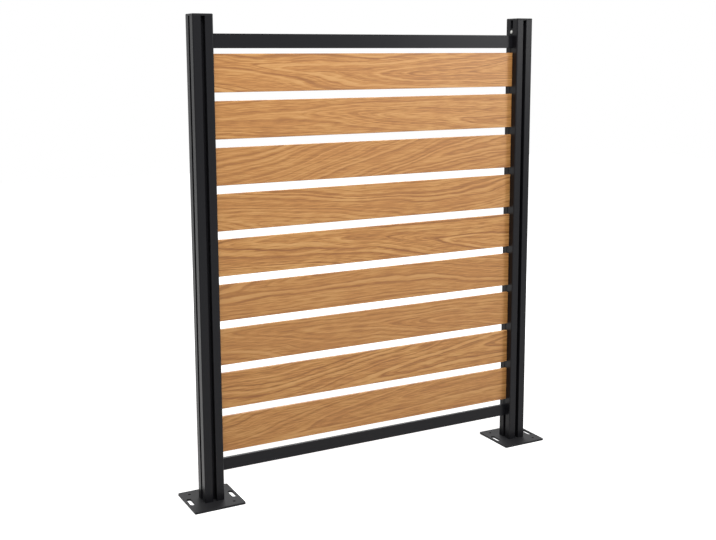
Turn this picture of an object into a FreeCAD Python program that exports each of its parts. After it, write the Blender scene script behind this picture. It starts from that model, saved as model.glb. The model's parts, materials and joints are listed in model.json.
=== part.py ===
"""Garden privacy screen: nine wood-decor slats between two grooved aluminium posts.

Millimetres, +Z up. The origin lies on the ground under the middle of the screen, X runs along
the screen and Y through its thickness. Each post is one extrusion with a groove in all four
faces. The inner grooves take, from the ground up: the bottom rail, which is screwed through the
post, then slats with a cut length of spacer section between them, the top rail and a lock block
whose screw keeps the stack down. What belongs to a post is drawn about that post's axis with the
screen on its +X side, and the right-hand set is the left-hand one turned half round.
"""
import FreeCAD, Part
import Sketcher
import math
import os

SLAT_COUNT = 9
SLAT_CHAMBER_COUNT = 4
POST_FACE_COUNT = 4
ANCHOR_PAIR_COUNT = 2
BASE_SCREW_COUNT = 2
RAIL_PORT_COUNT = 2

SIZES = {
    # the field between the posts, from the ground up
    "clear_width": 858,
    "ground_gap": 71.5,
    "bottom_rail_height": 31,
    "bottom_edge_gap": 16.5,
    "slat_height": 90,
    "slat_gap": 20,
    "top_edge_gap": 12.5,
    "top_rail_height": 34,
    # slats: a flat hollow section
    "slat_thickness": 8,
    "slat_insertion": 13,
    "slat_wall": 1.3,
    "slat_web": 1.5,
    "slat_edge_chamfer": 0.8,
    # rails: a central chamber between two screw ports
    "rail_side_clearance": 0.3,
    "rail_end_clearance": 0.2,
    "rail_wall": 1.5,
    "rail_port_inset": 5.5,
    "rail_edge_chamfer": 0.8,
    # post extrusion
    "post_size": 50,
    "post_corner_radius": 3,
    "post_wall": 2,
    "post_head_room": 21.5,
    "groove_width": 10,
    "groove_depth": 15,
    "groove_lip_chamfer": 0.6,
    "hub_wall": 4,
    "port_inset": 3.8,
    "port_wall": 1.6,
    "cutter_overrun": 1,
    # cap on each post
    "cap_thickness": 5,
    "cap_chamfer": 1.2,
    "cap_peg_size": 6,
    "cap_peg_length": 12,
    "cap_peg_clearance": 0.3,
    # base plate under each post
    "plate_size": 130,
    "plate_thickness": 5,
    "plate_corner_radius": 3,
    "anchor_slot_width": 12,
    "anchor_slot_length": 40,
    "anchor_slot_inset": 11,
    "anchor_hole_radius": 3.5,
    "anchor_hole_side_inset": 23,
    "anchor_hole_back_inset": 20,
    # spacer section and lock block in the inner groove
    "spacer_recess": 1,
    "spacer_side_clearance": 0.3,
    "spacer_floor_clearance": 0.5,
    "spacer_wall": 1.5,
    "lock_block_height": 18,
    # cylinder-head screws
    "screw_clearance": 0.2,
    "base_screw_radius": 2.4,
    "base_screw_head_radius": 4.5,
    "base_screw_head_height": 2.8,
    "base_screw_length": 35,
    "rail_screw_radius": 1.75,
    "rail_screw_head_radius": 3.5,
    "rail_screw_head_height": 2.4,
    "rail_screw_bite": 22,
    "lock_screw_radius": 2.1,
    "lock_screw_head_radius": 4.5,
    "lock_screw_head_height": 2.8,
    "lock_screw_bite": 8,
}

# Places that several pieces share, as expressions on the sheet.
POST_HALF = "Sizes.post_size / 2"
POST_CENTRE = "(Sizes.clear_width + Sizes.post_size) / 2"
GROOVE_FLOOR = "(Sizes.post_size / 2 - Sizes.groove_depth)"
HUB_INSIDE = f"({GROOVE_FLOOR} - Sizes.hub_wall)"
PORT_CENTRE = "(Sizes.groove_width / 2 + Sizes.post_wall + Sizes.port_inset)"
PORT_BORE = "(Sizes.base_screw_radius + Sizes.screw_clearance)"
RAIL_THICKNESS = "(Sizes.groove_width - 2 * Sizes.rail_side_clearance)"
RAIL_REACH = "(Sizes.groove_depth - Sizes.rail_end_clearance)"
SPACER_FACE = "(Sizes.post_size / 2 - Sizes.spacer_recess)"
RAIL_SCREW_HOLE = "(Sizes.rail_screw_radius + Sizes.screw_clearance)"
RAIL_SCREW_ACCESS = "(Sizes.rail_screw_head_radius + Sizes.screw_clearance)"
LOCK_SCREW_HOLE = "(Sizes.lock_screw_radius + Sizes.screw_clearance)"

# Heights above the ground, from the bottom rail to the top of the posts.
BOTTOM_RAIL_MIDDLE = "(Sizes.ground_gap + Sizes.bottom_rail_height / 2)"
BOTTOM_RAIL_PORT = "(Sizes.bottom_rail_height / 2 - Sizes.rail_port_inset)"
FIELD_BOTTOM = "(Sizes.ground_gap + Sizes.bottom_rail_height)"
SLAT_PITCH = "(Sizes.slat_height + Sizes.slat_gap)"
SLATS_BOTTOM = f"({FIELD_BOTTOM} + Sizes.bottom_edge_gap)"
SLATS_TOP = f"({SLATS_BOTTOM} + {SLAT_COUNT} * {SLAT_PITCH} - Sizes.slat_gap)"
TOP_RAIL_BOTTOM = f"({SLATS_TOP} + Sizes.top_edge_gap)"
LOCK_BLOCK_BOTTOM = f"({TOP_RAIL_BOTTOM} + Sizes.top_rail_height)"
POST_TOP = f"({LOCK_BLOCK_BOTTOM} + Sizes.lock_block_height + Sizes.post_head_room)"

ROOT_POINT = (-1, 1)
LINE_START, LINE_END, CIRCLE_CENTRE = range(1, 4)
TINY = 1e-6
ALONG_X = FreeCAD.Vector(1, 0, 0)
ALONG_Z = FreeCAD.Vector(0, 0, 1)

doc = FreeCAD.newDocument("privacy_screen")
bodies = []


# ---------------------------------------------------------------- sheet, bodies and sketches

def make_sheet():
    """One row for each driving size: its name beside its value."""
    sheet = doc.addObject("Spreadsheet::Sheet", "Sizes")
    for row, (name, value) in enumerate(SIZES.items(), 1):
        sheet.set(f"A{row}", name)
        sheet.set(f"B{row}", str(value))
        sheet.setAlias(f"B{row}", name)
    doc.recompute()


def new_body(label):
    body = doc.addObject("PartDesign::Body", label)
    body.AllowCompound = True
    bodies.append(body)
    return body


def place(body, x="0", z="0", turned=False):
    """Puts a body at its place, turned half round for the right-hand post."""
    if turned:
        body.Placement = FreeCAD.Placement(FreeCAD.Vector(), FreeCAD.Rotation(ALONG_Z, 180))
    body.setExpression("Placement.Base.x", x)
    body.setExpression("Placement.Base.z", z)


def datum(body, role):
    """The body's own origin plane or axis of that role."""
    return next(item for item in body.Origin.OriginFeatures if item.Role == role)


def sketch_on(body, role, across="0", up="0", forward="0"):
    """A sketch on one of the body's origin planes, shifted by expressions in its own axes."""
    sketch = body.newObject("Sketcher::SketchObject", body.Name + "_sketch")
    sketch.AttachmentSupport = [(datum(body, role), "")]
    sketch.MapMode = "FlatFace"
    for axis, shift in zip("xyz", (across, up, forward)):
        if shift != "0":
            sketch.setExpression(f"AttachmentOffset.Base.{axis}", shift)
    return sketch


def hold(sketch, constraint, value):
    """Adds a constraint and binds its size to an expression."""
    index = sketch.addConstraint(constraint)
    sketch.setExpression(f"Constraints[{index}]", value)


def hold_point(sketch, geometry, point, x, y):
    """Holds one point of the geometry at signed distances from the sketch's origin."""
    for kind, value in (("DistanceX", x), ("DistanceY", y)):
        size = sketch.evalExpression(value)
        hold(sketch, Sketcher.Constraint(kind, *ROOT_POINT, geometry, point, size), value)


def add_outline(sketch, corners):
    """A closed polygon through corners that are pairs of expressions."""
    points = [FreeCAD.Vector(*(sketch.evalExpression(value) for value in corner))
              for corner in corners]
    first = sketch.GeometryCount
    for here, there in zip(points, points[1:] + points[:1]):
        sketch.addGeometry(Part.LineSegment(here, there))
    for number, (x, y) in enumerate(corners):
        line = first + number
        following = first + (number + 1) % len(corners)
        sketch.addConstraint(Sketcher.Constraint("Coincident", line, LINE_END, following, LINE_START))
        hold_point(sketch, line, LINE_START, x, y)


def add_rectangle(sketch, left, right, bottom, top):
    add_outline(sketch, [(left, bottom), (right, bottom), (right, top), (left, top)])


def add_centred_rectangle(sketch, width, height):
    add_rectangle(sketch, f"-({width}) / 2", f"({width}) / 2", f"-({height}) / 2", f"({height}) / 2")


def add_circle(sketch, x, y, radius):
    centre = FreeCAD.Vector(sketch.evalExpression(x), sketch.evalExpression(y))
    size = sketch.evalExpression(radius)
    circle = sketch.addGeometry(Part.Circle(centre, ALONG_Z, size))
    hold_point(sketch, circle, CIRCLE_CENTRE, x, y)
    hold(sketch, Sketcher.Constraint("Radius", circle, size), radius)


# ---------------------------------------------------------------- features

def finish_feature(body, feature):
    body.Tip = feature
    doc.recompute()
    return feature


def pad(body, sketch, length, both_ways=False, downwards=False):
    feature = body.newObject("PartDesign::Pad", body.Name + "_pad")
    feature.Profile = sketch
    feature.SideType = "Symmetric" if both_ways else "One side"
    feature.Reversed = downwards
    feature.setExpression("Length", length)
    return finish_feature(body, feature)


def cut(body, sketch, way="forward", depth=None):
    """A pocket through all or to a depth, along the sketch's normal, against it or both ways."""
    before = body.Shape.Volume
    feature = body.newObject("PartDesign::Pocket", body.Name + "_cut")
    feature.Profile = sketch
    feature.SideType = "Symmetric" if way == "both" else "One side"
    feature.Reversed = way == "forward"
    if depth:
        feature.setExpression("Length", depth)
    else:
        feature.Type = "ThroughAll"
    finish_feature(body, feature)
    if body.Shape.Volume > before - TINY:
        raise RuntimeError(f"a cut in {body.Label} takes nothing away")
    return feature


def revolve(body, sketch, axis):
    feature = body.newObject("PartDesign::Revolution", body.Name + "_turned")
    feature.Profile = sketch
    feature.ReferenceAxis = (sketch, [axis])
    return finish_feature(body, feature)


def repeat_around(body, original, count):
    """Copies of a feature around the body's Z axis."""
    pattern = body.newObject("PartDesign::PolarPattern", body.Name + "_around")
    pattern.Originals = [original]
    pattern.Axis = (datum(body, "Z_Axis"), [""])
    pattern.Occurrences = count
    return finish_feature(body, pattern)


def repeat_up(body, original, count, spacing):
    """Copies of a feature stacked along the body's Z axis."""
    pattern = body.newObject("PartDesign::LinearPattern", body.Name + "_up")
    pattern.Originals = [original]
    pattern.Direction = (datum(body, "Z_Axis"), [""])
    pattern.Occurrences = count
    pattern.setExpression("Length", f"({count} - 1) * ({spacing})")
    return finish_feature(body, pattern)


def straight_edges(feature, direction, test):
    """Names of the edges that run along a direction and start where the test says."""
    names = []
    for number, edge in enumerate(feature.Shape.Edges, 1):
        if len(edge.Vertexes) != 2:
            continue
        start, end = (vertex.Point for vertex in edge.Vertexes)
        run = end - start
        if abs(run.dot(direction)) > run.Length - TINY and test(start):
            names.append(f"Edge{number}")
    return names


def round_corners(body, feature, direction, radius):
    """Rounds every edge of a plain block that runs along one direction."""
    rounding = body.newObject("PartDesign::Fillet", body.Name + "_round")
    rounding.Base = (feature, straight_edges(feature, direction, lambda point: True))
    rounding.setExpression("Radius", radius)
    return finish_feature(body, rounding)


def chamfer(body, feature, names, size):
    """Breaks the named edges, or all the edges round a named face."""
    bevel = body.newObject("PartDesign::Chamfer", body.Name + "_chamfer")
    bevel.Base = (feature, names)
    bevel.setExpression("Size", size)
    return finish_feature(body, bevel)


# ---------------------------------------------------------------- post set

def cut_grooves(body):
    """The same groove in each face of the post, with its two lips broken."""
    groove = sketch_on(body, "XY_Plane")
    add_rectangle(groove, GROOVE_FLOOR, f"{POST_HALF} + Sizes.cutter_overrun",
                  "-Sizes.groove_width / 2", "Sizes.groove_width / 2")
    grooves = repeat_around(body, cut(body, groove), POST_FACE_COUNT)
    near = grooves.evalExpression("Sizes.groove_width / 2")
    far = grooves.evalExpression(POST_HALF)

    def is_lip(point):
        return (abs(min(abs(point.x), abs(point.y)) - near) < TINY
                and abs(max(abs(point.x), abs(point.y)) - far) < TINY)

    chamfer(body, grooves, straight_edges(grooves, ALONG_Z, is_lip), "Sizes.groove_lip_chamfer")


def cut_post_holes(body):
    """Holes for the rail's screws, whose heads pass through to the inner wall, and the lock screw."""
    holes = sketch_on(body, "YZ_Plane")
    access = sketch_on(body, "YZ_Plane")
    for way in ("+", "-"):
        height = f"{BOTTOM_RAIL_MIDDLE} - Sizes.plate_thickness {way} {BOTTOM_RAIL_PORT}"
        add_circle(holes, "0", height, RAIL_SCREW_HOLE)
        add_circle(access, "0", height, RAIL_SCREW_ACCESS)
    cut(body, holes)
    cut(body, access, way="backward")
    lock_hole = sketch_on(body, "YZ_Plane")
    height = f"{LOCK_BLOCK_BOTTOM} - Sizes.plate_thickness + Sizes.lock_block_height / 2"
    add_circle(lock_hole, "0", height, LOCK_SCREW_HOLE)
    cut(body, lock_hole, depth=GROOVE_FLOOR)


def make_post(label):
    """Four-way grooved extrusion: four corner chambers with screw ports round a hollow hub."""
    body = new_body(label)
    face = sketch_on(body, "XY_Plane")
    add_centred_rectangle(face, "Sizes.post_size", "Sizes.post_size")
    bar = pad(body, face, f"{POST_TOP} - Sizes.plate_thickness")
    round_corners(body, bar, ALONG_Z, "Sizes.post_corner_radius")
    cut_grooves(body)

    inner = "Sizes.groove_width / 2 + Sizes.post_wall"
    outer = "Sizes.post_size / 2 - Sizes.post_wall"
    chamber = sketch_on(body, "XY_Plane")
    add_rectangle(chamber, inner, outer, inner, outer)
    repeat_around(body, cut(body, chamber), POST_FACE_COUNT)
    port = sketch_on(body, "XY_Plane")
    port_side = f"{PORT_CENTRE} + {PORT_BORE} + Sizes.port_wall"
    add_rectangle(port, inner, port_side, inner, port_side)
    repeat_around(body, pad(body, port, f"{POST_TOP} - Sizes.plate_thickness"), POST_FACE_COUNT)
    bore = sketch_on(body, "XY_Plane")
    add_circle(bore, PORT_CENTRE, PORT_CENTRE, PORT_BORE)
    repeat_around(body, cut(body, bore), POST_FACE_COUNT)
    hub = sketch_on(body, "XY_Plane")
    add_centred_rectangle(hub, f"2 * {HUB_INSIDE}", f"2 * {HUB_INSIDE}")
    cut(body, hub)
    cut_post_holes(body)
    return body


def make_cap(label):
    """Flat cap with four pegs that plug the post's corner chambers."""
    body = new_body(label)
    face = sketch_on(body, "XY_Plane")
    add_centred_rectangle(face, "Sizes.post_size", "Sizes.post_size")
    lid = pad(body, face, "Sizes.cap_thickness")
    rounded = round_corners(body, lid, ALONG_Z, "Sizes.post_corner_radius")
    faces = rounded.Shape.Faces
    highest = max(range(len(faces)), key=lambda number: faces[number].CenterOfMass.z)
    chamfer(body, rounded, [f"Face{highest + 1}"], "Sizes.cap_chamfer")
    outer = f"{POST_HALF} - Sizes.post_wall - Sizes.cap_peg_clearance"
    peg = sketch_on(body, "XY_Plane")
    add_rectangle(peg, f"{outer} - Sizes.cap_peg_size", outer, f"{outer} - Sizes.cap_peg_size", outer)
    pegs = pad(body, peg, "Sizes.cap_peg_length", downwards=True)
    repeat_around(body, pegs, POST_FACE_COUNT)
    return body


def add_slot(sketch, x, length, width):
    """A slot along Y: two half circles joined by straight sides."""
    centre_x = sketch.evalExpression(x)
    radius = sketch.evalExpression(width) / 2
    reach = sketch.evalExpression(length) / 2 - radius
    ends = []
    for side, start in ((1, 0), (-1, math.pi)):
        circle = Part.Circle(FreeCAD.Vector(centre_x, side * reach), ALONG_Z, radius)
        ends.append(sketch.addGeometry(Part.ArcOfCircle(circle, start, start + math.pi)))
    back, front = ends
    sides = []
    for side in (1, -1):
        low = FreeCAD.Vector(centre_x + side * radius, -side * reach)
        high = FreeCAD.Vector(centre_x + side * radius, side * reach)
        sides.append(sketch.addGeometry(Part.LineSegment(low, high)))
    right, left = sides
    for line, arc in ((right, back), (left, front)):
        sketch.addConstraint(Sketcher.Constraint("Tangent", line, LINE_END, arc, LINE_START))
    for arc, line in ((back, left), (front, right)):
        sketch.addConstraint(Sketcher.Constraint("Tangent", arc, LINE_END, line, LINE_START))
    for line in sides:
        sketch.addConstraint(Sketcher.Constraint("Vertical", line))
    hold_point(sketch, back, CIRCLE_CENTRE, x, f"({length} - {width}) / 2")
    low = f"-({length} - {width}) / 2"
    constraint = Sketcher.Constraint("DistanceY", *ROOT_POINT, front, CIRCLE_CENTRE, -reach)
    hold(sketch, constraint, low)
    hold(sketch, Sketcher.Constraint("Radius", back, radius), f"({width}) / 2")


def make_base_plate(label):
    """Ground plate: two anchor slots, two anchor holes, two counterbored holes from below."""
    body = new_body(label)
    face = sketch_on(body, "XY_Plane")
    add_centred_rectangle(face, "Sizes.plate_size", "Sizes.plate_size")
    blank = pad(body, face, "Sizes.plate_thickness")
    round_corners(body, blank, ALONG_Z, "Sizes.plate_corner_radius")

    slot = sketch_on(body, "XY_Plane")
    add_slot(slot, "Sizes.plate_size / 2 - Sizes.anchor_slot_inset", "Sizes.anchor_slot_length",
             "Sizes.anchor_slot_width")
    repeat_around(body, cut(body, slot), ANCHOR_PAIR_COUNT)
    hole = sketch_on(body, "XY_Plane")
    add_circle(hole, "Sizes.anchor_hole_side_inset - Sizes.plate_size / 2",
               "Sizes.plate_size / 2 - Sizes.anchor_hole_back_inset", "Sizes.anchor_hole_radius")
    repeat_around(body, cut(body, hole), ANCHOR_PAIR_COUNT)
    screw_hole = sketch_on(body, "XY_Plane")
    add_circle(screw_hole, PORT_CENTRE, PORT_CENTRE, PORT_BORE)
    repeat_around(body, cut(body, screw_hole), BASE_SCREW_COUNT)
    counterbore = sketch_on(body, "XY_Plane")
    add_circle(counterbore, PORT_CENTRE, PORT_CENTRE,
               "Sizes.base_screw_head_radius + Sizes.screw_clearance")
    depth = "Sizes.screw_clearance + Sizes.base_screw_head_height"
    repeat_around(body, cut(body, counterbore, depth=depth), BASE_SCREW_COUNT)
    return body


def screw_profile(kind, crown, seat, tip):
    """Half section of a cylinder-head screw, as pairs of place on its axis and radius."""
    head = f"Sizes.{kind}_head_radius"
    shank = f"Sizes.{kind}_radius"
    return [(crown, "0"), (crown, head), (seat, head), (seat, shank), (tip, shank), (tip, "0")]


def make_base_screws(label):
    """Two screws on one diagonal, up through the plate into the post's ports, heads sunk."""
    body = new_body(label)
    half = sketch_on(body, "XZ_Plane", across=PORT_CENTRE, forward=f"-{PORT_CENTRE}")
    crown = "Sizes.screw_clearance"
    profile = screw_profile("base_screw", crown, f"{crown} + Sizes.base_screw_head_height",
                            "Sizes.base_screw_length")
    add_outline(half, [(radius, height) for height, radius in profile])
    repeat_around(body, revolve(body, half, "V_Axis"), BASE_SCREW_COUNT)
    return body


def make_rail_screws(label):
    """Two screws inside the hub, through its inner wall into the bottom rail's ports."""
    body = new_body(label)
    half = sketch_on(body, "XZ_Plane", up=f"{BOTTOM_RAIL_MIDDLE} - {BOTTOM_RAIL_PORT}")
    add_outline(half, screw_profile("rail_screw", f"{HUB_INSIDE} - Sizes.rail_screw_head_height",
                                    HUB_INSIDE, f"{GROOVE_FLOOR} + Sizes.rail_screw_bite"))
    repeat_up(body, revolve(body, half, "H_Axis"), RAIL_PORT_COUNT, f"2 * {BOTTOM_RAIL_PORT}")
    return body


def make_lock_screw(label):
    """The screw that holds the lock block, its head in the mouth of the groove."""
    body = new_body(label)
    half = sketch_on(body, "XZ_Plane", up=f"{LOCK_BLOCK_BOTTOM} + Sizes.lock_block_height / 2")
    add_outline(half, screw_profile("lock_screw", f"{SPACER_FACE} + Sizes.lock_screw_head_height",
                                    SPACER_FACE, f"{GROOVE_FLOOR} - Sizes.lock_screw_bite"))
    revolve(body, half, "H_Axis")
    return body


def make_lock_block(label):
    """Solid block in the groove above the top rail, bored for its screw."""
    body = new_body(label)
    face = sketch_on(body, "XY_Plane")
    half_width = "(Sizes.groove_width / 2 - Sizes.spacer_side_clearance)"
    add_rectangle(face, GROOVE_FLOOR, SPACER_FACE, f"-{half_width}", half_width)
    pad(body, face, "Sizes.lock_block_height")
    bore = sketch_on(body, "YZ_Plane")
    add_circle(bore, "0", "Sizes.lock_block_height / 2", LOCK_SCREW_HOLE)
    cut(body, bore)
    return body


def make_spacer(label, length):
    """A cut length of hollow spacer section, standing in the inner groove."""
    body = new_body(label)
    back = f"{GROOVE_FLOOR} + Sizes.spacer_floor_clearance"
    half_width = "(Sizes.groove_width / 2 - Sizes.spacer_side_clearance)"
    wall = "Sizes.spacer_wall"
    face = sketch_on(body, "XY_Plane")
    add_rectangle(face, back, SPACER_FACE, f"-{half_width}", half_width)
    pad(body, face, length)
    hollow = sketch_on(body, "XY_Plane")
    add_rectangle(hollow, f"{back} + {wall}", f"{SPACER_FACE} - {wall}",
                  f"-({half_width} - {wall})", f"{half_width} - {wall}")
    cut(body, hollow)
    return body


# ---------------------------------------------------------------- rails and slats

def make_rail(label, height):
    """Hollow rail: a chamber in the middle and a screw port above and below it."""
    body = new_body(label)
    profile = sketch_on(body, "YZ_Plane")
    add_centred_rectangle(profile, RAIL_THICKNESS, height)
    bar = pad(body, profile, f"Sizes.clear_width + 2 * {RAIL_REACH}", both_ways=True)
    long_edges = straight_edges(bar, ALONG_X, lambda point: True)
    chamfer(body, bar, long_edges, "Sizes.rail_edge_chamfer")
    chamber = sketch_on(body, "YZ_Plane")
    add_centred_rectangle(chamber, f"{RAIL_THICKNESS} - 2 * Sizes.rail_wall",
                          f"{height} - 4 * Sizes.rail_port_inset")
    cut(body, chamber, way="both")
    ports = sketch_on(body, "YZ_Plane")
    for way in ("", "-"):
        add_circle(ports, "0", f"{way}({height} / 2 - Sizes.rail_port_inset)", RAIL_SCREW_HOLE)
    cut(body, ports, way="both")
    return body


def make_slat(label):
    """Flat hollow slat with a row of chambers one above the other."""
    body = new_body(label)
    profile = sketch_on(body, "YZ_Plane")
    half_thickness = "Sizes.slat_thickness / 2"
    add_rectangle(profile, f"-{half_thickness}", half_thickness, "0", "Sizes.slat_height")
    length = "Sizes.clear_width + 2 * Sizes.slat_insertion"
    bar = pad(body, profile, length, both_ways=True)
    long_edges = straight_edges(bar, ALONG_X, lambda point: True)
    chamfer(body, bar, long_edges, "Sizes.slat_edge_chamfer")
    chamber = f"((Sizes.slat_height - 2 * Sizes.slat_wall + Sizes.slat_web) / {SLAT_CHAMBER_COUNT})"
    half_inside = f"({half_thickness} - Sizes.slat_wall)"
    hollow = sketch_on(body, "YZ_Plane")
    add_rectangle(hollow, f"-{half_inside}", half_inside, "Sizes.slat_wall",
                  f"Sizes.slat_wall + {chamber} - Sizes.slat_web")
    repeat_up(body, cut(body, hollow, way="both"), SLAT_CHAMBER_COUNT, chamber)
    return body


# ---------------------------------------------------------------- assembly

def slat_bottom(number):
    """Height of the underside of a slat, counted from 1 at the bottom."""
    return f"{SLATS_BOTTOM} + {number - 1} * {SLAT_PITCH}"


def make_post_set(side, turned):
    """Everything that one post carries, from its ground plate to its cap."""
    x = POST_CENTRE if turned else f"-{POST_CENTRE}"
    place(make_base_plate(f"{side}_base_plate"), x, "0", turned)
    place(make_base_screws(f"{side}_base_screws"), x, "0", turned)
    place(make_post(f"{side}_post"), x, "Sizes.plate_thickness", turned)
    place(make_cap(f"{side}_post_cap"), x, POST_TOP, turned)
    place(make_rail_screws(f"{side}_rail_screws"), x, "0", turned)
    place(make_lock_block(f"{side}_lock_block"), x, LOCK_BLOCK_BOTTOM, turned)
    place(make_lock_screw(f"{side}_lock_screw"), x, "0", turned)
    lowest = make_spacer(f"{side}_bottom_edge_spacer", "Sizes.bottom_edge_gap")
    place(lowest, x, FIELD_BOTTOM, turned)
    for number in range(1, SLAT_COUNT):
        spacer = make_spacer(f"{side}_slat_spacer_{number}", "Sizes.slat_gap")
        place(spacer, x, f"{slat_bottom(number)} + Sizes.slat_height", turned)
    place(make_spacer(f"{side}_top_edge_spacer", "Sizes.top_edge_gap"), x, SLATS_TOP, turned)


def check_document():
    """Stops on any failed object, and on any piece without a sound shape."""
    for item in doc.Objects:
        if "Invalid" in item.State or "Error" in item.State:
            raise RuntimeError(f"{item.Label} failed: {item.State}")
    for body in bodies:
        if body.Shape.isNull() or not body.Shape.isValid() or not body.Shape.Solids:
            raise RuntimeError(f"{body.Label} has no sound shape")


def main():
    make_sheet()
    make_post_set("left", turned=False)
    make_post_set("right", turned=True)
    place(make_rail("bottom_rail", "Sizes.bottom_rail_height"), z=BOTTOM_RAIL_MIDDLE)
    top_rail_middle = f"{TOP_RAIL_BOTTOM} + Sizes.top_rail_height / 2"
    place(make_rail("top_rail", "Sizes.top_rail_height"), z=top_rail_middle)
    for number in range(1, SLAT_COUNT + 1):
        place(make_slat(f"slat_{number}"), z=slat_bottom(number))
    doc.recompute()
    check_document()
    os.makedirs("parts", exist_ok=True)
    for body in bodies:
        body.Shape.exportStep(f"parts/{body.Label}.step")
    print(f"{len(bodies)} pieces written")


main()
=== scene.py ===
"""Garden privacy screen: its finishes, the lock screws, the light and the camera.

Metres, +Z up, the screen along X with its front to -Y. The frame's nodes keep their shapes and get
their finishes here. Only the two lock screws are modelled again, because their heads show.
"""
import json
import math

import bpy
from mathutils import Matrix, Vector


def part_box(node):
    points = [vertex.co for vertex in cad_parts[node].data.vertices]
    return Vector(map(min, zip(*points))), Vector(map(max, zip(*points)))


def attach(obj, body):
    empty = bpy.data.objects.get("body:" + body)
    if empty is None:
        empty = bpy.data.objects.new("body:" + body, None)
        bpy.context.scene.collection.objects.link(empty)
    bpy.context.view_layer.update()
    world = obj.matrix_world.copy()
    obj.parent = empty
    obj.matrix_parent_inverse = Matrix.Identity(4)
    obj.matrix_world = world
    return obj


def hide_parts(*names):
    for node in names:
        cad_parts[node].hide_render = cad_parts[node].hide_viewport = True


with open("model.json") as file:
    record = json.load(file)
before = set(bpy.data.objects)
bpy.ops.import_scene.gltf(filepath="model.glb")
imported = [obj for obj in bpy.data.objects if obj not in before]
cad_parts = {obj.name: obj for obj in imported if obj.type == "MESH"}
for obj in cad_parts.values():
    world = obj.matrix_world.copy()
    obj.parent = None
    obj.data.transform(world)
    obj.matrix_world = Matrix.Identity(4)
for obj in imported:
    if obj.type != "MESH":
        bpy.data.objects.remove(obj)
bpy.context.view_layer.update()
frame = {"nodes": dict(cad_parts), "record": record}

MILLIMETRE = 0.001

# Places read from the frame.
LOWEST_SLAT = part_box("slat_1")
SECOND_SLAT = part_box("slat_2")
SLAT_PITCH = SECOND_SLAT[0][2] - LOWEST_SLAT[0][2]
SLAT_HEIGHT = LOWEST_SLAT[1][2] - LOWEST_SLAT[0][2]

# The grain of the two powder coats, drawn coarser than real so that it can show: how wide and how
# deep its pebbles are.
POST_GRAIN_WIDTH = 1.5 * MILLIMETRE
POST_GRAIN_DEPTH = 0.05 * MILLIMETRE
PLATE_GRAIN_WIDTH = 0.8 * MILLIMETRE
PLATE_GRAIN_DEPTH = 0.1 * MILLIMETRE

# The oak figure, in metres: how far one slat's stretch of board lies from the next, the spacing of
# its rings, how the pith wanders, how the rings widen and taper, and the waves that bend them, as
# length along, width across, rise and detail.
BOARD_SHIFT = 3.71
RING_SPACING = 6 * MILLIMETRE
PITH_LENGTH = 1.5
PITH_WANDER = 0.28
PITH_BLUNTNESS = 0.005
RING_OPENING = 0.75
RING_TAPER = 0.05
FIGURE_WAVES = ((0.32, 0.07, 0.032, 1.0), (0.08, 0.02, 0.006, 2.0))

# The fibres, drawn coarser than the real 0.3 mm, as thin as the render can show, and the patches
# where the film is paler or darker: each one's length along the grain and width across it.
FIBRE_LENGTH = 50 * MILLIMETRE
FIBRE_WIDTH = 3 * MILLIMETRE
PATCH_LENGTH = 160 * MILLIMETRE
PATCH_WIDTH = 30 * MILLIMETRE

# How far rings, fibres and patches each darken the film, and the shade that they start from.
RING_CONTRAST = 1.6
FIBRE_CONTRAST = 1.4
PATCH_CONTRAST = 0.7
START_SHADE = -1.25

# The film's colours by shade, from pale early wood to dark late wood. Each slat is mixed with more
# or less of one brown, up to the share given here, and the darker patches with a redder oak.
OAK_COLOURS = ((0.2, "E2AD6E"), (0.5, "D09858"), (0.66, "BB8145"), (0.95, "8E592C"))
SLAT_BROWN = "B98048"
SLAT_BROWN_SHARE = 0.35
RED_OAK = "D39556"
RED_CONTRAST = 0.9
RED_START = -0.3

# The lock screw's form, in metres, how finely its round is cut, and how squarely a face must look
# along X to count as its flat end.
SCREW_HEAD_HEIGHT = 2.8 * MILLIMETRE
SCREW_SHANK_RADIUS = 2.1 * MILLIMETRE
SCREW_CROWN_BEVEL = 1.1 * MILLIMETRE
SCREW_RECESS_DEPTH = 1.6 * MILLIMETRE
SCREW_RECESS_WIDTH = 1.0 * MILLIMETRE
SCREW_RECESS_LENGTH = 4.6 * MILLIMETRE
SCREW_SIDES = 32
SCREW_CROWN_STEPS = 4
FLAT_END_NORMAL = 0.99

# The studio: the floor's width, how far below the plates it lies, its colour, how strongly it glows
# by distance from the screen's middle, the grey that it throws back, and the fill from the air.
FLOOR_WIDTH = 14
FLOOR_DROP = 0.5 * MILLIMETRE
FLOOR_WHITE = (0.8, 0.8, 0.8, 1)
FLOOR_GLOW_NEAR = 0.8
FLOOR_GLOW_FAR = 1.0
GLOW_STARTS_TO_RISE = 0.7
GLOW_IS_FULL = 2.2
FLOOR_BOUNCE = (0.35, 0.35, 0.35, 1)
FILL_LIGHT = 0.19
WHITE = (1, 1, 1, 1)

# The photograph's camera, as fitted to the screen's own edges: focal length and the row of the
# picture's centre in pixels, angles in radians and place in metres. The picture is shifted only as
# far as the whole screen still stays in view from its other sides.
IMAGE_WIDTH = 716
IMAGE_HEIGHT = 540
FOCAL_PIXELS = 1057.83
PRINCIPAL_ROW = 220
YAW = 0.4888
PITCH = 0.1553
ROLL = -0.0035
CAMERA_PLACE = Vector((-1.29579, -2.35828, 1.08625))


# ---------------------------------------------------------------- materials

def linear(hex_colour):
    """An sRGB hex colour as linear RGBA."""
    channels = [int(hex_colour[start:start + 2], 16) / 255 for start in (0, 2, 4)]
    curve = [c / 12.92 if c <= 0.04045 else ((c + 0.055) / 1.055) ** 2.4 for c in channels]
    return (*curve, 1.0)


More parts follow.
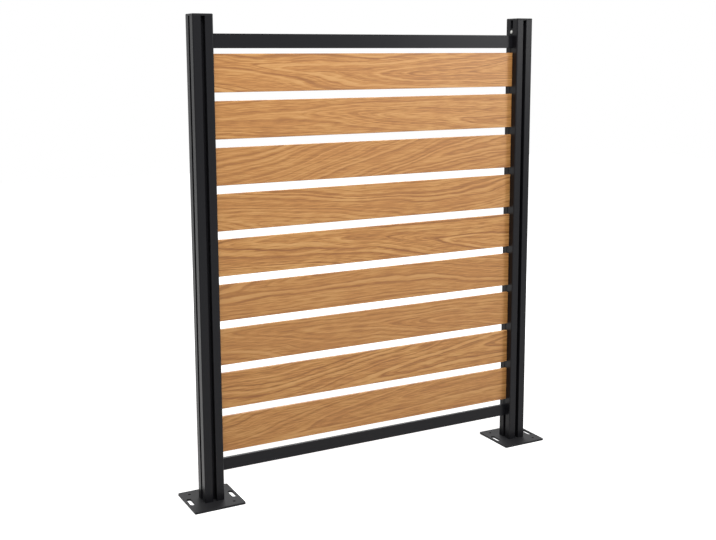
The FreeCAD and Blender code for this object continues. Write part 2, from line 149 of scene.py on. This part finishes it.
def add_node(tree, kind, inputs=None, **settings):
    """Adds a node with its settings; inputs holds values or the sockets to link."""
    node = tree.nodes.new(kind)
    for name, value in settings.items():
        setattr(node, name, value)
    for key, value in (inputs or {}).items():
        if isinstance(value, bpy.types.NodeSocket):
            tree.links.new(value, node.inputs[key])
        else:
            node.inputs[key].default_value = value
    return node


def new_material(name, **shader):
    """A material with one principled shader, whose plain values are set on its own sockets."""
    material = bpy.data.materials.new(name)
    material.use_nodes = True
    tree = material.node_tree
    tree.nodes.clear()
    principled = add_node(tree, "ShaderNodeBsdfPrincipled",
                          {key.replace("_", " "): value for key, value in shader.items()})
    add_node(tree, "ShaderNodeOutputMaterial", {"Surface": principled.outputs["BSDF"]})
    return material, tree, principled


def powder_coated_aluminium():
    """Satin black powder coat on extruded aluminium.

    It gives near-black flats with a faint soft shine and a fine pebble.
    """
    material, tree, principled = new_material(
        "powder_coated_aluminium_satin_black", Base_Color=linear("1A1A1D"), Roughness=0.32,
        IOR=1.5, Specular_IOR_Level=0.14)
    place = add_node(tree, "ShaderNodeTexCoord").outputs["Object"]
    pebble = add_node(tree, "ShaderNodeTexNoise",
                      {"Vector": place, "Scale": 1 / POST_GRAIN_WIDTH, "Detail": 2})
    bump = add_node(tree, "ShaderNodeBump", {"Height": pebble.outputs["Fac"], "Strength": 0.15,
                                             "Distance": POST_GRAIN_DEPTH})
    tree.links.new(bump.outputs["Normal"], principled.inputs["Normal"])
    return material


def powder_coated_steel():
    """Fine-texture black powder coat on steel plate.

    It is matt, greyer than the posts, with a sandy grain.
    """
    material, tree, principled = new_material(
        "powder_coated_steel_fine_texture", Base_Color=linear("262628"), Roughness=0.55,
        IOR=1.5, Specular_IOR_Level=0.15)
    place = add_node(tree, "ShaderNodeTexCoord").outputs["Object"]
    grain = add_node(tree, "ShaderNodeTexNoise",
                     {"Vector": place, "Scale": 1 / PLATE_GRAIN_WIDTH, "Detail": 3})
    bump = add_node(tree, "ShaderNodeBump", {"Height": grain.outputs["Fac"], "Strength": 0.4,
                                             "Distance": PLATE_GRAIN_DEPTH})
    tree.links.new(bump.outputs["Normal"], principled.inputs["Normal"])
    return material


def moulded_plastic(name, colour, roughness):
    """Black plastic, moulded or extruded: even, darker than the coat, with a broad dull shine."""
    return new_material(name, Base_Color=linear(colour), Roughness=roughness, IOR=1.5,
                        Specular_IOR_Level=0.2)[0]


def turned_stainless_steel():
    """Stainless screw steel, turned and polished: bright, with soft highlights."""
    return new_material("turned_stainless_steel", Base_Color=linear("C8C8C4"), Metallic=1.0,
                        Roughness=0.28)[0]


def oak_decor_film():
    """Honey-oak decor film baked onto aluminium.

    It is satin, with the flames and long streaks of flat-sawn oak. Each slat is cut from its own
    stretch of the printed board: its number, counted up Z, shifts the pattern along the grain, so
    that no two slats are alike.
    """
    material, tree, principled = new_material(
        "oak_decor_film_on_aluminium", Roughness=0.42, IOR=1.5, Specular_IOR_Level=0.5)
    place = add_node(tree, "ShaderNodeTexCoord").outputs["Object"]
    axes = add_node(tree, "ShaderNodeSeparateXYZ", {"Vector": place})
    half_gap = (SLAT_PITCH - SLAT_HEIGHT) / 2
    height = add_node(tree, "ShaderNodeMath",
                      {0: axes.outputs["Z"], 1: LOWEST_SLAT[0][2] - half_gap},
                      operation="SUBTRACT")
    pitches = add_node(tree, "ShaderNodeMath", {0: height.outputs[0], 1: SLAT_PITCH},
                       operation="DIVIDE")
    number = add_node(tree, "ShaderNodeMath", {0: pitches.outputs[0]}, operation="FLOOR")
    across = add_node(tree, "ShaderNodeMath", {0: pitches.outputs[0]}, operation="FRACT")
    shift = add_node(tree, "ShaderNodeMath",
                     {0: number.outputs[0], 1: BOARD_SHIFT, 2: axes.outputs["X"]},
                     operation="MULTIPLY_ADD")
    across_metres = add_node(tree, "ShaderNodeMath", {0: across.outputs[0], 1: SLAT_PITCH},
                             operation="MULTIPLY")
    board = add_node(tree, "ShaderNodeCombineXYZ", {"X": shift.outputs[0],
                                                    "Z": across_metres.outputs[0]})

    # The board is a slice beside the log's pith, which wanders across it and away: over the pith
    # the rings close into nested flames that point to -X, and beside it they run in long streaks.
    drift = add_node(tree, "ShaderNodeTexNoise", {"W": shift.outputs[0], "Scale": 1 / PITH_LENGTH,
                                                  "Detail": 0.0}, noise_dimensions="1D")
    pith = add_node(tree, "ShaderNodeMath", {0: drift.outputs["Fac"], 1: PITH_WANDER,
                                             2: (SLAT_PITCH - PITH_WANDER) / 2},
                    operation="MULTIPLY_ADD")
    from_pith = add_node(tree, "ShaderNodeMath", {0: across_metres.outputs[0], 1: pith.outputs[0]},
                         operation="SUBTRACT")
    squared = add_node(tree, "ShaderNodeMath", {0: from_pith.outputs[0], 1: from_pith.outputs[0],
                                                2: PITH_BLUNTNESS ** 2}, operation="MULTIPLY_ADD")
    distance = add_node(tree, "ShaderNodeMath", {0: squared.outputs[0]}, operation="SQRT")
    rise_along = add_node(tree, "ShaderNodeMath", {0: shift.outputs[0], 1: RING_TAPER},
                          operation="MULTIPLY")
    cone = add_node(tree, "ShaderNodeMath", {0: distance.outputs[0], 1: -RING_OPENING,
                                             2: rise_along.outputs[0]}, operation="MULTIPLY_ADD")
    figure = [cone.outputs[0]]
    for length, width, rise, detail in FIGURE_WAVES:
        space = add_node(tree, "ShaderNodeMapping", {"Vector": board.outputs[0],
                                                     "Scale": (1 / length, 1, 1 / width)})
        wave = add_node(tree, "ShaderNodeTexNoise", {"Vector": space.outputs[0], "Scale": 1.0,
                                                     "Detail": detail, "Roughness": 0.5})
        raised = add_node(tree, "ShaderNodeMath", {0: wave.outputs["Fac"], 1: rise, 2: figure[-1]},
                          operation="MULTIPLY_ADD")
        figure.append(raised.outputs[0])
    rings = add_node(tree, "ShaderNodeTexNoise", {"W": figure[-1], "Scale": 1 / RING_SPACING,
                                                  "Detail": 3.0, "Roughness": 0.6},
                     noise_dimensions="1D")

    # Fibres and patches lie along the board over the rings. The three together set the shade.
    fibre_space = add_node(tree, "ShaderNodeMapping",
                           {"Vector": board.outputs[0],
                            "Scale": (1 / FIBRE_LENGTH, 1, 1 / FIBRE_WIDTH)})
    fibre = add_node(tree, "ShaderNodeTexNoise", {"Vector": fibre_space.outputs[0], "Scale": 1.0,
                                                  "Detail": 3.0, "Roughness": 0.6})
    patch_space = add_node(tree, "ShaderNodeMapping",
                           {"Vector": board.outputs[0],
                            "Scale": (1 / PATCH_LENGTH, 1, 1 / PATCH_WIDTH)})
    patch = add_node(tree, "ShaderNodeTexNoise", {"Vector": patch_space.outputs[0], "Scale": 1.0,
                                                  "Detail": 2.0})
    streaks = add_node(tree, "ShaderNodeMath",
                       {0: rings.outputs["Fac"], 1: RING_CONTRAST, 2: START_SHADE},
                       operation="MULTIPLY_ADD")
    fibrous = add_node(tree, "ShaderNodeMath",
                       {0: fibre.outputs["Fac"], 1: FIBRE_CONTRAST, 2: streaks.outputs[0]},
                       operation="MULTIPLY_ADD")
    shade = add_node(tree, "ShaderNodeMath",
                     {0: patch.outputs["Fac"], 1: PATCH_CONTRAST, 2: fibrous.outputs[0]},
                     operation="MULTIPLY_ADD")
    ramp = add_node(tree, "ShaderNodeValToRGB", {"Fac": shade.outputs[0]})
    stops = ramp.color_ramp.elements
    for position, _ in OAK_COLOURS[1:-1]:
        stops.new(position)
    for stop, (position, colour) in zip(stops, OAK_COLOURS):
        stop.position = position
        stop.color = linear(colour)

    # The brown differs from slat to slat, and the red follows the patches.
    tone = add_node(tree, "ShaderNodeTexWhiteNoise", {"W": number.outputs[0]},
                    noise_dimensions="1D")
    brown_share = add_node(tree, "ShaderNodeMath",
                           {0: tone.outputs["Value"], 1: SLAT_BROWN_SHARE}, operation="MULTIPLY")
    toned = add_node(tree, "ShaderNodeMix", {0: brown_share.outputs[0], 6: ramp.outputs["Color"],
                                             7: linear(SLAT_BROWN)}, data_type="RGBA")
    red_share = add_node(tree, "ShaderNodeMath",
                         {0: patch.outputs["Fac"], 1: RED_CONTRAST, 2: RED_START},
                         operation="MULTIPLY_ADD", use_clamp=True)
    tinted = add_node(tree, "ShaderNodeMix", {0: red_share.outputs[0], 6: toned.outputs[2],
                                              7: linear(RED_OAK)}, data_type="RGBA")
    tree.links.new(tinted.outputs[2], principled.inputs["Base Color"])
    return material


FINISHES = {
    "frame_black": powder_coated_aluminium(),
    "plate_black": powder_coated_steel(),
    "slat_oak": oak_decor_film(),
    "cap_black": moulded_plastic("moulded_black_plastic", "141416", 0.45),
    "spacer_black": moulded_plastic("extruded_black_plastic", "0E0E10", 0.5),
    "screw_steel": turned_stainless_steel(),
}


def dress_nodes():
    """Gives each node of the frame the finish that the record names for it."""
    for part in frame["record"]["subparts"]:
        node = frame["nodes"][part["node"]]
        for material_slot in node.material_slots:
            material_slot.material = FINISHES[part["material_slot"]]


# ---------------------------------------------------------------- lock screws

def select_end(screw, facing):
    """Opens the screw for editing with only its flat end face in the given sense of X selected."""
    bpy.ops.object.mode_set(mode="EDIT")
    bpy.ops.mesh.select_mode(type="FACE")
    bpy.ops.mesh.select_all(action="DESELECT")
    bpy.ops.object.mode_set(mode="OBJECT")
    for polygon in screw.data.polygons:
        polygon.select = polygon.normal.x * facing > FLAT_END_NORMAL
    bpy.ops.object.mode_set(mode="EDIT")


def model_lock_screw(side, facing):
    """A lock screw with a domed head and a cross recess; facing is 1 for a head to +X, else -1.

    The head is a cylinder, bevelled round its crown. Its underside is inset and drawn out to the
    tip as the shank, and two crossed blocks cut the recess.
    """
    node = f"{side}_lock_screw"
    low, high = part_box(node)
    crown, tip = (high[0], low[0]) if facing > 0 else (low[0], high[0])
    radius = (high[2] - low[2]) / 2
    middle_y, middle_z = (low[1] + high[1]) / 2, (low[2] + high[2]) / 2
    seat = crown - facing * SCREW_HEAD_HEIGHT
    bpy.ops.mesh.primitive_cylinder_add(
        vertices=SCREW_SIDES, radius=radius, depth=SCREW_HEAD_HEIGHT,
        rotation=(0, math.pi / 2, 0), location=((crown + seat) / 2, middle_y, middle_z))
    screw = bpy.context.object
    screw.name = f"{side}_lock_screw_dressed"
    bpy.ops.object.transform_apply(location=True, rotation=True, scale=True)
    select_end(screw, facing)
    bpy.ops.mesh.bevel(offset=SCREW_CROWN_BEVEL, segments=SCREW_CROWN_STEPS, affect="EDGES")
    bpy.ops.object.mode_set(mode="OBJECT")
    select_end(screw, -facing)
    bpy.ops.mesh.inset(thickness=radius - SCREW_SHANK_RADIUS)
    bpy.ops.mesh.extrude_region_move(TRANSFORM_OT_translate={"value": (tip - seat, 0, 0)})
    bpy.ops.object.mode_set(mode="OBJECT")
    for turn in (0, math.pi / 2):
        bpy.ops.mesh.primitive_cube_add(size=1, location=(crown, middle_y, middle_z),
                                        rotation=(turn, 0, 0))
        cutter = bpy.context.object
        cutter.scale = (2 * SCREW_RECESS_DEPTH, SCREW_RECESS_WIDTH, SCREW_RECESS_LENGTH)
        bpy.ops.object.transform_apply(location=True, rotation=True, scale=True)
        recess = screw.modifiers.new("recess", "BOOLEAN")
        recess.operation = "DIFFERENCE"
        recess.object = cutter
        bpy.context.view_layer.objects.active = screw
        bpy.ops.object.modifier_apply(modifier=recess.name)
        bpy.data.objects.remove(cutter)
    bpy.ops.object.select_all(action="DESELECT")
    screw.data.materials.append(FINISHES["screw_steel"])
    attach(screw, "root")
    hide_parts(node)


# ---------------------------------------------------------------- floor, light and camera

def ray_is_shown(tree):
    """1 for the rays that see the white studio: camera, glossy and transmission rays."""
    ray = add_node(tree, "ShaderNodeLightPath")
    seen = add_node(tree, "ShaderNodeMath", {0: ray.outputs["Is Camera Ray"],
                                             1: ray.outputs["Is Glossy Ray"]}, operation="MAXIMUM")
    return add_node(tree, "ShaderNodeMath", {0: seen.outputs[0],
                                             1: ray.outputs["Is Transmission Ray"]},
                    operation="MAXIMUM").outputs[0]


def add_floor():
    """A white floor that keeps the screen's shadow.

    It glows for the camera, a little less near the screen, where the shadow falls, than far away.
    """
    bpy.ops.mesh.primitive_plane_add(size=FLOOR_WIDTH, location=(0, 0, -FLOOR_DROP))
    floor = bpy.context.object
    floor.name = "studio_floor"
    material = bpy.data.materials.new("studio_white")
    material.use_nodes = True
    tree = material.node_tree
    tree.nodes.clear()
    place = add_node(tree, "ShaderNodeTexCoord").outputs["Object"]
    away = add_node(tree, "ShaderNodeVectorMath", {0: place}, operation="LENGTH")
    strength = add_node(tree, "ShaderNodeMapRange",
                        {"Value": away.outputs["Value"],
                         "From Min": GLOW_STARTS_TO_RISE, "From Max": GLOW_IS_FULL,
                         "To Min": FLOOR_GLOW_NEAR, "To Max": FLOOR_GLOW_FAR})
    paper = add_node(tree, "ShaderNodeBsdfDiffuse", {"Color": FLOOR_WHITE})
    glow = add_node(tree, "ShaderNodeEmission",
                    {"Color": WHITE, "Strength": strength.outputs[0]})
    both = add_node(tree, "ShaderNodeAddShader", {0: paper.outputs[0], 1: glow.outputs[0]})
    dull = add_node(tree, "ShaderNodeBsdfDiffuse", {"Color": FLOOR_BOUNCE})
    shown = add_node(tree, "ShaderNodeMixShader", {0: ray_is_shown(tree), 1: dull.outputs[0],
                                                   2: both.outputs[0]})
    add_node(tree, "ShaderNodeOutputMaterial", {"Surface": shown.outputs[0]})
    floor.data.materials.append(material)


def light_world():
    """White to the camera and to gloss, a soft grey fill to everything else."""
    world = bpy.data.worlds.new("studio_air")
    bpy.context.scene.world = world
    world.use_nodes = True
    tree = world.node_tree
    tree.nodes.clear()
    white = add_node(tree, "ShaderNodeBackground", {"Color": WHITE, "Strength": 1.0})
    fill = add_node(tree, "ShaderNodeBackground", {"Color": WHITE, "Strength": FILL_LIGHT})
    shown = add_node(tree, "ShaderNodeMixShader", {0: ray_is_shown(tree), 1: fill.outputs[0],
                                                   2: white.outputs[0]})
    add_node(tree, "ShaderNodeOutputWorld", {"Surface": shown.outputs[0]})


def add_softbox(name, place, target, width, height, watts):
    """A rectangular lamp at its place, turned to face its target."""
    bpy.ops.object.light_add(type="AREA", location=place)
    lamp = bpy.context.object
    lamp.name = name
    lamp.data.shape = "RECTANGLE"
    lamp.data.size = width
    lamp.data.size_y = height
    lamp.data.energy = watts
    aim = Vector(target) - Vector(place)
    lamp.rotation_euler = aim.to_track_quat("-Z", "Y").to_euler()


def add_camera():
    """The photograph's camera: turned by its angles, its picture shifted by its centre row."""
    forward = Vector((math.sin(YAW) * math.cos(PITCH), math.cos(YAW) * math.cos(PITCH),
                      -math.sin(PITCH)))
    level_right = Vector((math.cos(YAW), -math.sin(YAW), 0.0))
    level_up = level_right.cross(forward)
    right = math.cos(ROLL) * level_right + math.sin(ROLL) * level_up
    up = right.cross(forward)
    bpy.ops.object.camera_add()
    camera = bpy.context.object
    camera.name = "photo_camera"
    turn = Matrix((right, up, -forward)).transposed().to_4x4()
    camera.matrix_world = Matrix.Translation(CAMERA_PLACE) @ turn
    camera.data.lens = FOCAL_PIXELS * camera.data.sensor_width / IMAGE_WIDTH
    camera.data.shift_y = (PRINCIPAL_ROW - IMAGE_HEIGHT / 2) / IMAGE_WIDTH
    bpy.context.scene.camera = camera


bpy.context.scene.view_settings.view_transform = "Standard"
bpy.ops.object.select_all(action="DESELECT")
dress_nodes()
model_lock_screw("left", 1)
model_lock_screw("right", -1)
add_floor()
light_world()
add_softbox("key_front_right", place=(2.4, -2.6, 1.55), target=(0.1, 0.0, 1.0),
            width=1.0, height=1.1, watts=29)
add_softbox("top_front", place=(-0.35, -1.5, 2.75), target=(0.0, 0.0, 0.8),
            width=2.2, height=1.2, watts=60)
add_softbox("back_fill", place=(1.2, 2.6, 2.2), target=(0.0, 0.0, 0.6),
            width=2.0, height=1.4, watts=40)
add_camera()
